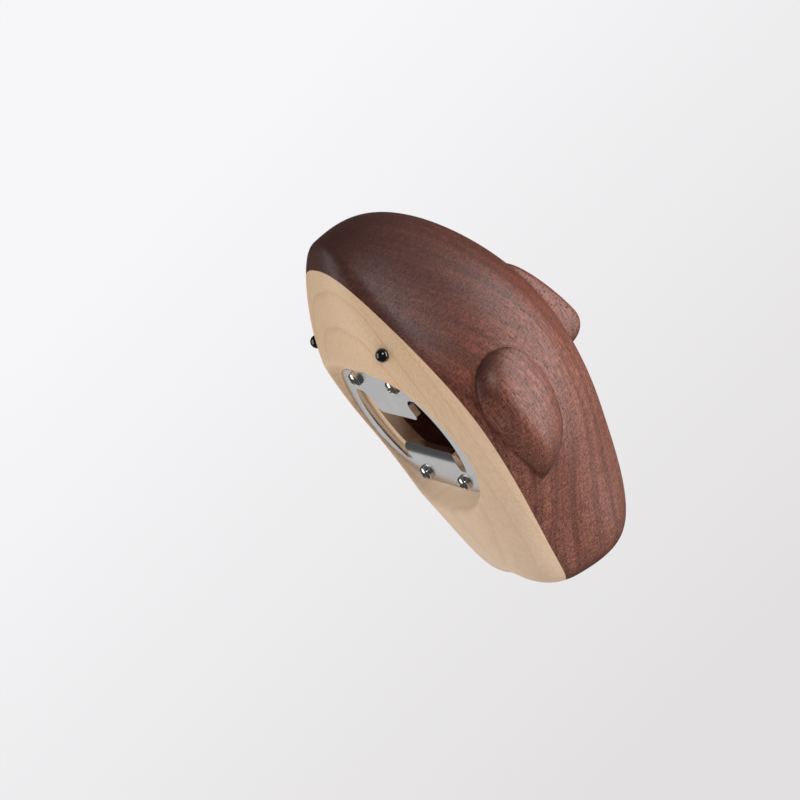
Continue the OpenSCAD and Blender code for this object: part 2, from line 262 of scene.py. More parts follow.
def fade(e, roundness, end):
    """1 at e = 0 and 0 at e = 1, falling by the two exponents."""
    return np.clip(1 - e ** roundness, 0, 1) ** end


def side_fin_outline(x):
    """Middle height and half-height of the leaf-shaped side fin at x."""
    forward = x > SIDE_FIN_X
    v = np.minimum(1, np.abs(x - SIDE_FIN_X) / np.where(forward, SIDE_FIN_FRONT, SIDE_FIN_REAR))
    n = np.where(forward, *SIDE_FIN_PLAN)
    middle = SIDE_FIN_Z - SIDE_FIN_DROP * np.where(forward, 0, v) ** SIDE_FIN_DROP_CURVE
    return middle, SIDE_FIN_HALF_HEIGHT * (1 - v ** n) ** (1 / n)


def outer_face(e, across, crisp, x):
    """The side fin's relief, at e = 0 to 1 from its middle to its edge and across it from -1 to 1."""
    edge = (1 - crisp) * fade(e, SIDE_FIN_STEEP, 0.5) + crisp * fade(e, SIDE_FIN_CRISP, 0.5)
    step = SIDE_FIN_STEP * smooth((SIDE_FIN_STEP_END - x) / SIDE_FIN_STEP_FADE)
    over = np.clip((across - SIDE_FIN_RIDGE) / (1 - SIDE_FIN_RIDGE), 0, 1)
    return edge * (1 - (1 - step) * over ** SIDE_FIN_FALL)


def side_fin_ahead(x, z):
    """The steep lower face turns round the front edge and fades into the upper one."""
    v = np.maximum(0, x - SIDE_FIN_X) / SIDE_FIN_FRONT
    t = (z - SIDE_FIN_Z) / SIDE_FIN_HALF_HEIGHT
    n = SIDE_FIN_PLAN[0]
    e = np.minimum(1, (v ** n + np.abs(t) ** n) ** (1 / n))
    turn = np.arctan2(t, v)
    crisp = smooth((np.degrees(turn) - SIDE_FIN_TURN) / (90 - SIDE_FIN_TURN))
    return outer_face(e, e * np.sin(turn), crisp, x)


def side_fin_behind(x, z):
    """The midline drops towards the rounded tip."""
    middle, half = side_fin_outline(x)
    across = np.clip((z - middle) / np.maximum(half, THIN), -1, 1)
    end = fade(np.clip((SIDE_FIN_X - x) / SIDE_FIN_REAR, 0, 1), SIDE_FIN_END, 0.5)
    return end * outer_face(np.abs(across), across, np.where(across < 0, 0, 1), x)


def side_fin(x, z):
    """Relief of a side fin, 0 outside its outline."""
    return SIDE_FIN_RELIEF * np.where(x > SIDE_FIN_X, side_fin_ahead(x, z), side_fin_behind(x, z))


def body_point(u, a):
    """Point of the body, with its side fins, at u along it and angle a around it."""
    upper = np.sin(a) >= 0
    n = np.where(upper, UPPER_ROUND, lower_round(u))
    y = half_width(u) * signed_pow(np.cos(a), 2 / n)
    z = WIDEST_Z + np.where(upper, back_height(u), belly_depth(u)) * signed_pow(np.sin(a), 2 / n)
    x = HALF_LENGTH * u + tail_shift(u, y, z)
    return x, y + np.sign(y) * side_fin(x, z), z


def belly_z(x, y):
    """Height of the belly's skin over a place in plan, found by halving steps along the body."""
    low = np.full_like(x, -1.0)
    high = np.full_like(x, 1.0)
    z = np.zeros_like(x)
    for _ in range(HALVINGS):
        u = (low + high) / 2
        n = lower_round(u)
        across = np.minimum(1, np.abs(y) / np.maximum(half_width(u), 1e-6))
        z = WIDEST_Z - belly_depth(u) * (1 - across ** n) ** (1 / n)
        behind = HALF_LENGTH * u + tail_shift(u, y, z) < x
        low = np.where(behind, u, low)
        high = np.where(behind, high, u)
    return z


def angle_at(u, z):
    """Angle around the body, from -90 to 90 degrees, at which its skin is at height z."""
    over = z > WIDEST_Z
    reach = np.where(over, back_height(u), belly_depth(u))
    part = np.clip(np.abs(z - WIDEST_Z) / np.maximum(reach, 1e-6), 0, 1)
    n = np.where(over, UPPER_ROUND, lower_round(u))
    return np.where(over, 1, -1) * np.arcsin(part ** (n / 2))


def eased(count):
    """0 to 1, closer together at both ends."""
    return (1 - np.cos(np.linspace(0, math.pi, count, endpoint=False))) / 2


def body_grid():
    """Rings of the body's skin, whose lines follow the side fins' edges so that those stay crisp."""
    u = -np.cos(np.linspace(0, math.pi, BODY_RINGS + 1))[1:-1]
    middle, half = side_fin_outline(HALF_LENGTH * u)
    half = np.maximum(half, SIDE_FIN_BLUNT)
    low = angle_at(u, middle - half)[:, None]
    high = angle_at(u, middle + half)[:, None]
    under = -math.pi / 2 + (low + math.pi / 2) * np.linspace(0, 1, UNDER_POINTS, endpoint=False)
    across = low + (high - low) * eased(FIN_SPAN_POINTS)
    over = high + (math.pi / 2 - high) * np.linspace(0, 1, OVER_POINTS, endpoint=False)
    left = np.concatenate([under, across, over], 1)
    right = math.pi - left
    right[:, 0] = 1.5 * math.pi
    top = np.full((len(u), 1), math.pi / 2)
    angles = np.concatenate([left, top, right[:, :0:-1]], 1)
    return np.broadcast_to(u[:, None], angles.shape), angles


# ---------------------------------------------------------------- mesh helpers

def new_piece(name, points, faces, material, sharp_degrees):
    """A piece of points in millimetres, with sharp edges where faces meet at more than an angle."""
    mesh = bpy.data.meshes.new(name)
    mesh.from_pydata([tuple(MM * float(c) for c in p) for p in points], [], faces)
    return finish_piece(name, mesh, material, sharp_degrees)


def finish_piece(name, mesh, material, sharp_degrees):
    """An object of a mesh in metres, smooth-shaded, that rides on the body."""
    work = bmesh.new()
    work.from_mesh(mesh)
    bmesh.ops.recalc_face_normals(work, faces=work.faces)
    work.to_mesh(mesh)
    work.free()
    mesh.polygons.foreach_set("use_smooth", [True] * len(mesh.polygons))
    mesh.set_sharp_from_angle(angle=math.radians(sharp_degrees))
    piece = bpy.data.objects.new(name, mesh)
    bpy.context.scene.collection.objects.link(piece)
    piece.data.materials.append(material)
    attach(piece, "root")
    return piece


def grid_faces(rows, columns):
    """Quads of a grid whose rows close round on themselves."""
    faces = []
    for i in range(rows - 1):
        for j in range(columns):
            a = i * columns + j
            b = i * columns + (j + 1) % columns
            faces.append((a, b, b + columns, a + columns))
    return faces


def capped_faces(rows, columns):
    """The same grid, closed by the two points that follow it: before its first row, after its last."""
    faces = grid_faces(rows, columns)
    start, end = rows * columns, rows * columns + 1
    last = (rows - 1) * columns
    for j in range(columns):
        k = (j + 1) % columns
        faces.append((start, k, j))
        faces.append((end, last + j, last + k))
    return faces


def lathe(profile, points, twist=None):
    """Points and faces of a turned shape, closed at both ends of its (radius, height) profile."""
    angles = np.linspace(0, 2 * math.pi, points, endpoint=False)
    made = []
    for radius, height in profile[1:-1]:
        radii = np.full(points, float(radius)) if twist is None else radius + twist(angles, height)
        made += list(zip(radii * np.cos(angles), radii * np.sin(angles), np.full(points, height)))
    made += [(0, 0, profile[0][1]), (0, 0, profile[-1][1])]
    return made, capped_faces(len(profile) - 2, points)


# ---------------------------------------------------------------- materials

# How quickly the growth rings wander, along the trunk and across it, for each millimetre
WARP_RATE = (0.012, 0.05, 0.05)
# How fine the brushed lines are along X, Y and Z, for each metre
BRUSH_RATE = (4000, 350, 900)


def node(tree, kind, inputs=None, **settings):
    """Adds a shader node; an input is a value or another node's output."""
    made = tree.nodes.new(kind)
    for key, value in settings.items():
        setattr(made, key, value)
    for key, value in (inputs or {}).items():
        if isinstance(value, bpy.types.NodeSocket):
            tree.links.new(value, made.inputs[key])
        else:
            made.inputs[key].default_value = value
    return made


def new_material(name, **values):
    """A material with one Principled shader, its constant sockets set."""
    material = bpy.data.materials.new(name)
    material.use_nodes = True
    tree = material.node_tree
    shader = tree.nodes["Principled BSDF"]
    for key, value in values.items():
        shader.inputs[key.replace("_", " ")].default_value = value
    return material, tree, shader


def srgb(red, green, blue):
    """Linear colour from the usual 0 to 255 values."""
    def linear(c):
        c = c / 255
        return c / 12.92 if c <= 0.04045 else ((c + 0.055) / 1.055) ** 2.4
    return (linear(red), linear(green), linear(blue), 1.0)


def grey(value):
    """A grey of this linear brightness."""
    return (value, value, value, 1.0)


def darker(colour, part):
    """A colour with this part of its brightness."""
    return tuple(part * c for c in colour[:3]) + (1.0,)


def x_part(tree, vector):
    """The X part of a vector."""
    return node(tree, "ShaderNodeSeparateXYZ", {0: vector}).outputs[0]


def grain_space(tree, origin, tilt, warp):
    """Coordinates in millimetres about the tree's heart, which runs nearly along X."""
    place = node(tree, "ShaderNodeTexCoord").outputs["Object"]
    scaled = node(tree, "ShaderNodeVectorMath", {0: place, "Scale": 1 / MM}, operation="SCALE")
    moved = node(tree, "ShaderNodeMapping", {
        "Vector": scaled.outputs[0],
        "Location": tuple(-c for c in origin),
    }, vector_type="POINT")
    turned = node(tree, "ShaderNodeMapping", {
        "Vector": moved.outputs[0],
        "Rotation": tuple(math.radians(c) for c in tilt),
    })
    slow = node(tree, "ShaderNodeVectorMath", {
        0: turned.outputs[0], 1: WARP_RATE}, operation="MULTIPLY")
    noise = node(tree, "ShaderNodeTexNoise", {
        "Vector": slow.outputs[0], "Scale": 1.0, "Detail": 2.0})
    centred = node(tree, "ShaderNodeVectorMath", {
        0: noise.outputs["Color"], 1: (0.5, 0.5, 0.5)}, operation="SUBTRACT")
    spread = node(tree, "ShaderNodeVectorMath", {
        0: centred.outputs[0], "Scale": warp}, operation="SCALE")
    total = node(tree, "ShaderNodeVectorMath", {
        0: turned.outputs[0], 1: spread.outputs[0]}, operation="ADD")
    return turned.outputs[0], total.outputs[0]


def growth_rings(tree, place, spacing, profile):
    """Rings round X, 0 to 1: SAW fades up to a dark line and falls back, SIN swells softly."""
    wave = node(tree, "ShaderNodeTexWave", {
        "Vector": place, "Scale": 2 * math.pi / 20 / spacing,
        "Distortion": 0.5, "Detail": 1.5, "Detail Scale": 0.35},
        wave_type="RINGS", rings_direction="X", wave_profile=profile)
    return wave.outputs["Fac"]


def fibre_noise(tree, place, along, across, detail=3.0):
    """Noise drawn out along X: along and across are its sizes in millimetres."""
    stretched = node(tree, "ShaderNodeVectorMath", {
        0: place, 1: (1 / along, 1 / across, 1 / across)}, operation="MULTIPLY")
    return node(tree, "ShaderNodeTexNoise", {
        "Vector": stretched.outputs[0], "Scale": 1.0, "Detail": detail}).outputs["Fac"]


def layer_noise(tree, place, along, thickness):
    """Noise in thin layers round X, which show as long lines wherever the surface cuts them."""
    flat = node(tree, "ShaderNodeVectorMath", {0: place, 1: (0, 1, 1)}, operation="MULTIPLY")
    radius = node(tree, "ShaderNodeVectorMath", {0: flat.outputs[0]}, operation="LENGTH").outputs["Value"]
    spot = node(tree, "ShaderNodeCombineXYZ", {
        0: node(tree, "ShaderNodeMath", {0: x_part(tree, place), 1: along}, operation="DIVIDE").outputs[0],
        1: node(tree, "ShaderNodeMath", {0: radius, 1: thickness}, operation="DIVIDE").outputs[0]})
    return node(tree, "ShaderNodeTexNoise", {
        "Vector": spot.outputs[0], "Scale": 1.0, "Detail": 3.0}).outputs["Fac"]


def pores(tree, place, length, width, size):
    """Short dashes along X, of different sizes, with 1 in a pore and 0 between them."""
    stretched = node(tree, "ShaderNodeVectorMath", {
        0: place, 1: (1 / length, 1 / width, 1 / width)}, operation="MULTIPLY")
    cells = node(tree, "ShaderNodeTexVoronoi", {"Vector": stretched.outputs[0], "Scale": 1.0})
    parts = node(tree, "ShaderNodeSeparateColor", {0: cells.outputs["Color"]})
    radius = scaled_value(tree, parts.outputs[0], 0.0, size, 0.25, 1.0)
    inside = node(tree, "ShaderNodeMath", {
        0: radius, 1: cells.outputs["Distance"]}, operation="SUBTRACT")
    return scaled_value(tree, inside.outputs[0], 0.0, 1.0, -0.02, 0.14)


def ramp(tree, factor, stops):
    """A colour ramp from (position, colour) stops."""
    made = node(tree, "ShaderNodeValToRGB", {0: factor})
    elements = made.color_ramp.elements
    while len(elements) < len(stops):
        elements.new(0.5)
    for element, (position, colour) in zip(elements, stops):
        element.position = position
        element.color = colour
    return made.outputs[0]


def mixed(tree, factor, first, second, blend="MIX"):
    """Two colours mixed by a factor; any of the three is a value or another node's output."""
    made = node(tree, "ShaderNodeMix", data_type="RGBA", blend_type=blend)
    for key, value in ((0, factor), (6, first), (7, second)):
        if isinstance(value, bpy.types.NodeSocket):
            tree.links.new(value, made.inputs[key])
        else:
            made.inputs[key].default_value = value
    return made.outputs[2]


def scaled_value(tree, value, low, high, start=0.0, end=1.0):
    """A value from start to end, spread over low to high."""
    return node(tree, "ShaderNodeMapRange", {
        0: value, 1: start, 2: end, 3: low, 4: high}).outputs[0]


def bump(tree, height, distance, strength):
    """A normal from a height of 0 to 1, which stands for a distance in millimetres."""
    return node(tree, "ShaderNodeBump", {
        "Height": height, "Distance": distance * MM, "Strength": strength}).outputs[0]


def walnut():
    """Dark brown wood with layers, fibres, ripples and pores, darker towards the nose and where a face
    looks along X: partly wood tone and end grain, partly painted shade.
    """
    material, tree, shader = new_material("walnut_wood", Specular_IOR_Level=0.3)
    straight, warped = grain_space(tree, (0, -45, 75), (0, 2, 1.5), 5)
    # Darker towards the nose: partly the wood's own tone, partly painted shade for the dimly lit head.
    along = scaled_value(tree, x_part(tree, straight), 0.0, 1.0, -HALF_LENGTH, HALF_LENGTH)
    base = ramp(tree, along, (
        (0.05, srgb(138, 90, 76)), (0.4, srgb(137, 86, 71)),
        (0.62, srgb(115, 62, 47)), (0.9, srgb(93, 54, 46))))
    bands = scaled_value(tree, growth_rings(tree, warped, 5.0, "SIN"), 0.0, 0.34)
    base = mixed(tree, bands, base, srgb(86, 50, 43))
    patches = fibre_noise(tree, straight, 16, 6, 2)
    base = mixed(tree, scaled_value(tree, patches, 0.0, 0.3, 0.45, 0.7), base, srgb(120, 66, 50))
    for noise, dark, light in (
            (layer_noise(tree, warped, 50, 0.9), 0.8, 1.15),
            (fibre_noise(tree, straight, 3, 0.26, 2), 0.62, 1.3),
            (fibre_noise(tree, straight, 0.5, 1.7, 2), 0.8, 1.16)):
        shade = ramp(tree, noise, ((0.38, grey(dark)), (0.62, grey(light))))
        base = mixed(tree, 1.0, base, shade, "MULTIPLY")
    dashes = pores(tree, straight, 0.9, 0.25, 0.54)
    base = mixed(tree, scaled_value(tree, dashes, 0, 0.85), base, srgb(34, 22, 22))
    # Faces that look along X are darker: partly the darker end grain, partly painted shade for the dim
    # lower front of the side fin and the head.
    facing = x_part(tree, node(tree, "ShaderNodeTexCoord").outputs["Normal"])
    end_grain_and_shade = node(tree, "ShaderNodeMath", {0: facing}, operation="ABSOLUTE").outputs[0]
    base = mixed(tree, scaled_value(tree, end_grain_and_shade, 0.0, 0.75, 0.2, 0.8), base, srgb(60, 39, 35))
    tree.links.new(base, shader.inputs["Base Color"])
    tree.links.new(scaled_value(tree, dashes, 0.38, 0.7), shader.inputs["Roughness"])
    closed = node(tree, "ShaderNodeMath", {0: 1.0, 1: dashes}, operation="SUBTRACT")
    tree.links.new(bump(tree, closed.outputs[0], 0.03, 0.7), shader.inputs["Normal"])
    return material


def maple():
    """Pale wood with faint growth rings and small flecks, and a painted sheen that makes it paler and less
    yellow towards the tail.
    """
    material, tree, shader = new_material("maple_wood", Specular_IOR_Level=0.4)
    straight, warped = grain_space(tree, (0, 10, -31), (0, 1.5, 0), 5)
    rings = growth_rings(tree, warped, 3.4, "SAW")
    base = ramp(tree, rings, (
        (0.0, srgb(232, 199, 163)), (0.78, srgb(231, 197, 160)),
        (0.94, srgb(221, 182, 143)), (1.0, srgb(228, 193, 155))))
    patches = fibre_noise(tree, straight, 30, 9, 2)
    base = mixed(tree, scaled_value(tree, patches, -0.2, 0.7), base, srgb(228, 190, 154))
    # Painted sheen: a paler, less yellow colour towards the tail stands in for the white sheen on the rear
    # of the belly.
    rear = scaled_value(tree, x_part(tree, straight), 0.6, 0.0, -HALF_LENGTH, HALF_LENGTH / 2)
    base = mixed(tree, rear, base, srgb(224, 198, 178))
    fibres = fibre_noise(tree, straight, 5, 0.3)
    shade = ramp(tree, fibres, ((0.3, (0.9, 0.88, 0.86, 1)), (0.6, grey(1.0)), (0.75, grey(1.03))))
    base = mixed(tree, 1.0, base, shade, "MULTIPLY")
    flecks = pores(tree, straight, 2.2, 0.42, 0.3)
    base = mixed(tree, scaled_value(tree, flecks, 0, 0.25), base, srgb(160, 114, 76))
    tree.links.new(base, shader.inputs["Base Color"])
    tree.links.new(scaled_value(tree, fibres, 0.4, 0.54), shader.inputs["Roughness"])
    tree.links.new(bump(tree, fibres, 0.01, 0.5), shader.inputs["Normal"])
    return material


def steel(name, colour, polished, brushed):
    """Metal with fine brushed lines, and a roughness from polished to brushed."""
    material, tree, shader = new_material(name, Metallic=1.0)
    place = node(tree, "ShaderNodeTexCoord").outputs["Object"]
    stretched = node(tree, "ShaderNodeVectorMath", {
        0: place, 1: BRUSH_RATE}, operation="MULTIPLY")
    lines = node(tree, "ShaderNodeTexNoise", {
        "Vector": stretched.outputs[0], "Scale": 1.0, "Detail": 2.0}).outputs["Fac"]
    cloudy = node(tree, "ShaderNodeTexNoise", {"Vector": place, "Scale": 180.0}).outputs["Fac"]
    tint = ramp(tree, cloudy, ((0.3, darker(colour, 0.92)), (0.7, colour)))
    tree.links.new(tint, shader.inputs["Base Color"])
    tree.links.new(scaled_value(tree, lines, polished, brushed), shader.inputs["Roughness"])
    tree.links.new(bump(tree, lines, 0.0008, 0.3), shader.inputs["Normal"])
    return material


def black_bead():
    """Glossy black glass or plastic."""
    material, tree, shader = new_material("black_bead", Coat_Weight=0.6, Coat_Roughness=0.04)
    place = node(tree, "ShaderNodeTexCoord").outputs["Object"]
    cloudy = node(tree, "ShaderNodeTexNoise", {"Vector": place, "Scale": 900.0}).outputs["Fac"]
    colour = ramp(tree, cloudy, ((0.3, srgb(8, 8, 10)), (0.7, srgb(15, 15, 18))))
    tree.links.new(colour, shader.inputs["Base Color"])
    tree.links.new(scaled_value(tree, cloudy, 0.08, 0.14), shader.inputs["Roughness"])
    return material


def pale_paper():
    """Matt pale paper, clear from below so that the belly can be seen through it."""
    material, tree, shader = new_material("floor_paper", Roughness=0.9, Specular_IOR_Level=0.2)
    place = node(tree, "ShaderNodeTexCoord").outputs["Object"]
    cloudy = node(tree, "ShaderNodeTexNoise", {"Vector": place, "Scale": 3.0}).outputs["Fac"]
    tint = ramp(tree, cloudy, ((0.3, darker(PAPER, 0.985)), (0.7, PAPER)))
    tree.links.new(tint, shader.inputs["Base Color"])
    back = node(tree, "ShaderNodeNewGeometry").outputs["Backfacing"]
    clear = node(tree, "ShaderNodeBsdfTransparent").outputs[0]
    either = node(tree, "ShaderNodeMixShader", {0: back, 1: shader.outputs[0], 2: clear})
    tree.links.new(either.outputs[0], tree.nodes["Material Output"].inputs[0])
    return material


PAPER = srgb(226, 225, 223)
WALNUT = walnut()
MAPLE = maple()
PLATE_STEEL = steel("plate_steel", (0.7, 0.69, 0.69, 1), 0.14, 0.24)
SCREW_STEEL = steel("screw_steel", (0.78, 0.78, 0.76, 1), 0.08, 0.2)
BEAD = black_bead()


# ---------------------------------------------------------------- the two halves of the body

def circle_points(x, y, z, radius, count):
    """Points of a level circle about (x, y, z)."""
    angles = np.linspace(0, 2 * math.pi, count, endpoint=False)
    return [(x + radius * math.cos(a), y + radius * math.sin(a), z) for a in angles]


def add_loop(work, points):
    """Adds a closed line of points to a bmesh and gives its edges."""
    corners = [work.verts.new([MM * c for c in p]) for p in points]
    return [work.edges.new((corners[i - 1], corners[i])) for i in range(len(corners))]


def build_walnut_back():
    """The body over the glue line, with the blind recess that the cap tips into."""
    u, a = body_grid()
    x, y, z = body_point(u, a)
    rows, columns = u.shape
    points = np.stack([x, y, z], -1).reshape(-1, 3)
    tips = np.stack(body_point(np.array([-1.0, 1.0]), np.zeros(2)), -1)
    mesh = bpy.data.meshes.new("walnut_back")
    work = bmesh.new()
    corners = [work.verts.new(MM * p) for p in np.concatenate([points, tips])]
    for face in capped_faces(rows, columns):
        work.faces.new([corners[i] for i in face])
    bmesh.ops.bisect_plane(
        work, geom=work.verts[:] + work.edges[:] + work.faces[:], plane_co=(0, 0, SEAM_Z * MM),
        plane_no=(0, 0, 1), clear_inner=True, dist=SNAP)
    rim = [e for e in work.edges if e.is_boundary]
    recess = add_loop(work, circle_points(PLATE_X, 0, SEAM_Z, RECESS_RADIUS, RECESS_POINTS))
    bmesh.ops.triangle_fill(work, edges=rim + recess, use_beauty=True)
    walls = bmesh.ops.extrude_edge_only(work, edges=recess)["geom"]
    top = [g for g in walls if isinstance(g, bmesh.types.BMVert)]
    bmesh.ops.translate(work, verts=top, vec=(0, 0, RECESS_DEPTH * MM))
    bmesh.ops.triangle_fill(
        work, edges=[g for g in walls if isinstance(g, bmesh.types.BMEdge) and g.is_boundary],
        use_beauty=True)
    work.to_mesh(mesh)
    work.free()
    piece = finish_piece("walnut_back_shell", mesh, WALNUT, 40)
    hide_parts("walnut_back")


def plate_reach(a):
    """Distance from the plate's centre to its edge in direction a."""
    c, s = np.abs(np.cos(a)), np.abs(np.sin(a))
    corner_x = PLATE_FLAT - PLATE_CORNER
    corner_y = math.sqrt((PLATE_RADIUS - PLATE_CORNER) ** 2 - corner_x ** 2)
    on_flat = PLATE_FLAT / np.maximum(c, 1e-6)
    toward = c * corner_x + s * corner_y
    inside = PLATE_CORNER ** 2 - (corner_x ** 2 + corner_y ** 2 - toward ** 2)
    on_corner = toward + np.sqrt(np.maximum(0, inside))
    reach = np.where(on_flat * s <= corner_y, on_flat, on_corner)
    return np.where(s * corner_x >= c * corner_y, PLATE_RADIUS, reach)


def rim_reach(a):
    """Distance from the plate's centre to the bowl's edge at its full depth."""
    c, s = np.abs(np.cos(a)), np.abs(np.sin(a))
    oval = ((c / RIM_HALF_LENGTH) ** RIM_ROUND + (s / RIM_HALF_WIDTH) ** RIM_ROUND) ** (-1 / RIM_ROUND)
    return oval + RIM_FORWARD * np.cos(a)


def soft_max(a, b, softness):
    """The larger of two values, with their meeting line rounded."""
    h = np.maximum(softness - np.abs(a - b), 0) / softness
    return np.maximum(a, b) + h * h * softness / 4


def seam_reach(a):
    """Distance from the plate's centre to the body's outline at the glue line."""
    low = np.full_like(a, SEAM_NEAREST)
    high = np.full_like(a, SEAM_FARTHEST)
    for _ in range(HALVINGS):
        r = (low + high) / 2
        inside = belly_z(PLATE_X + r * np.cos(a), r * np.sin(a)) < SEAM_Z
        low = np.where(inside, r, low)
        high = np.where(inside, high, r)
    return (low + high) / 2


def build_maple_belly():
    """The belly, as rings about the plate's centre: skin, bowl, plate seat and recess."""
    a = np.linspace(0, 2 * math.pi, BELLY_POINTS, endpoint=False)
    seat = plate_reach(a) + PLATE_CLEARANCE
    outline = seam_reach(a)
    rings = []
    for t in np.sin(np.linspace(math.pi / 2, 0, BELLY_RINGS)):
        r = seat + (outline - seat) * t
        x, y = PLATE_X + r * np.cos(a), r * np.sin(a)
        wall = np.maximum(0, (r - seat) / (rim_reach(a) - seat)) ** (1 / WALL_CURVE)
        bowl = PLATE_FACE_Z - RIM_DEPTH * wall
        z = soft_max(belly_z(x, y), bowl, RIM_SOFTNESS)
        z = soft_max(z, np.zeros_like(z), BELLY_SOFTNESS)
        if t == 1:
            z = np.full_like(z, SEAM_Z)
        rings.append((r, z))
    floor_z = np.full_like(a, PLATE_FACE_Z + PLATE_THICKNESS)
    rings.append((seat, floor_z))
    rings.append((np.full_like(a, RECESS_RADIUS), floor_z))
    rings.append((np.full_like(a, RECESS_RADIUS), np.full_like(a, SEAM_Z)))
    points = []
    for r, z in rings:
        points += list(zip(PLATE_X + r * np.cos(a), r * np.sin(a), z))
    faces = grid_faces(len(rings), len(a))
    last = (len(rings) - 1) * len(a)
    for j in range(len(a)):
        k = (j + 1) % len(a)
        faces.append((last + j, last + k, k, j))
    piece = new_piece("maple_belly_shell", points, faces, MAPLE, 40)
    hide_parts("maple_belly")


# ---------------------------------------------------------------- dorsal fin

def fin_front(h):
    return FIN_FRONT_REACH * fade(h, FIN_FRONT_CURVE[0], 1 / FIN_FRONT_CURVE[1])


def fin_rear(h):
    return FIN_REAR_REACH * fade(h, FIN_REAR_CURVE, 0.5)


def fin_thick(h):
    return FIN_THICKNESS * fade(h, FIN_THICK_CURVE, 0.5) * (1 - FIN_TAPER * h)


def build_dorsal_fin():
    """The fin's blade over a root that goes down into the back."""
    a = np.linspace(0, 2 * math.pi, FIN_POINTS, endpoint=False)
    root_z = FIN_BASE_Z - FIN_ROOT_DEPTH
    blade = np.sin(np.linspace(0, math.pi / 2, FIN_LEVELS))[:-1]
    levels = [(0.0, root_z)] + [(h, FIN_BASE_Z + h * FIN_HEIGHT) for h in blade]
    points = []
    for h, z in levels:
        front, rear = fin_front(h), fin_rear(h)
        along = (front + rear) / 2 * signed_pow(np.cos(a), FIN_OVAL[0])
        x = FIN_CREST_X + (front - rear) / 2 + along
        y = fin_thick(h) / 2 * signed_pow(np.sin(a), FIN_OVAL[1])
        points += list(zip(x, y, np.full_like(a, z)))
    middle = FIN_CREST_X + (FIN_FRONT_REACH - FIN_REAR_REACH) / 2
    points += [(middle, 0, root_z), (FIN_CREST_X, 0, FIN_BASE_Z + FIN_HEIGHT)]
    piece = new_piece("dorsal_fin_blade", points, capped_faces(len(levels), len(a)), WALNUT, 60)
    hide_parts("dorsal_fin")


# ---------------------------------------------------------------- opener plate

def arc(cx, cy, radius, start, end, count=12):
    """Points of an arc from start to end, in degrees."""
    angles = np.radians(np.linspace(start, end, count))
    return [(cx + radius * math.cos(t), cy + radius * math.sin(t)) for t in angles]


def opening_outline():
    """Outline of the hole between the lifting and the pressing tongue, about the plate's centre."""
    c, f = TONGUE_CORNER, PRESSING_FILLET
    turn = math.degrees(math.acos(OPENING_FLAT / OPENING_RADIUS))
    half = arc(-LIFTING_TIP - c, LIFTING_HALF_WIDTH - c, c, 0, 90, 8)
    half += [(-OPENING_FLAT, LIFTING_HALF_WIDTH)]
    half += arc(0, 0, OPENING_RADIUS, 180 - turn, turn, 40)
    half += arc(OPENING_FLAT - f, PRESSING_HALF_WIDTH + f, f, 0, -90, 12)
    half += arc(PRESSING_TIP + c, PRESSING_HALF_WIDTH - c, c, 90, 180, 8)
    return half + [(x, -y) for x, y in reversed(half)]


def screw_places():
    """Name and centre of each screw, from the CAD."""
    found = []
    for name in sorted(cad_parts):
        if name.startswith("screw_"):
            low, high = box_mm(name)
            found.append((name, (low[0] + high[0]) / 2, (low[1] + high[1]) / 2))
    return found


def curl_tip(work):
    """Turns the lifting tongue's tip up into the mouth, where it grips the cap."""
    tip_x = PLATE_X - LIFTING_TIP
    for bend_x in np.linspace(tip_x, tip_x - TIP_CURL_LENGTH, TIP_CURL_STEPS + 1):
        bmesh.ops.bisect_plane(
            work, geom=work.verts[:] + work.edges[:] + work.faces[:],
            plane_co=(MM * bend_x, 0, 0), plane_no=(1, 0, 0), dist=SNAP)
    for corner in work.verts:
        x, y = corner.co.x / MM, corner.co.y / MM
        if x <= tip_x + 0.01 and abs(y) <= LIFTING_HALF_WIDTH + 0.01:
            along = max(0, 1 - (tip_x - x) / TIP_CURL_LENGTH)
            corner.co.z += MM * TIP_CURL * along ** 2


def build_plate():
    """The steel plate with its opening, screw holes, turned-up tip and eased edges."""
    a = np.linspace(0, 2 * math.pi, PLATE_POINTS, endpoint=False)
    mesh = bpy.data.meshes.new("opener_plate_steel")
    work = bmesh.new()
    z = PLATE_FACE_Z
    outer = [(PLATE_X + r * math.cos(t), r * math.sin(t), z) for r, t in zip(plate_reach(a), a)]
    edges = add_loop(work, outer)
    edges += add_loop(work, [(PLATE_X + x, y, z) for x, y in opening_outline()])
    for _, x, y in screw_places():
        edges += add_loop(work, circle_points(x, y, z, PLATE_HOLE_RADIUS, 24))
    bmesh.ops.triangle_fill(work, edges=edges, use_beauty=True)
    extruded = bmesh.ops.extrude_face_region(work, geom=work.faces[:])["geom"]
    top = [g for g in extruded if isinstance(g, bmesh.types.BMVert)]
    bmesh.ops.translate(work, verts=top, vec=(0, 0, PLATE_THICKNESS * MM))
    curl_tip(work)
    work.to_mesh(mesh)
    work.free()
    piece = finish_piece("opener_plate_steel", mesh, PLATE_STEEL, 30)
    bevel = piece.modifiers.new("eased_edges", "BEVEL")
    bevel.width = PLATE_EDGE_RADIUS * MM
    bevel.segments = 3
    bevel.limit_method = "ANGLE"
    bevel.angle_limit = math.radians(50)
    bevel.use_clamp_overlap = True
    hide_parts("opener_plate")


# ---------------------------------------------------------------- screws

def thread(angles, height):
    """Ridge of the shank's thread: a helix that starts under the head and fades at the tip."""
    if height < THREAD_START or height > THREAD_STOP:
        return np.zeros_like(angles)
    turn = (height / THREAD_PITCH + angles / (2 * math.pi)) % 1
    return THREAD_DEPTH * (1 - np.abs(2 * turn - 1)) - THREAD_DEPTH / 2


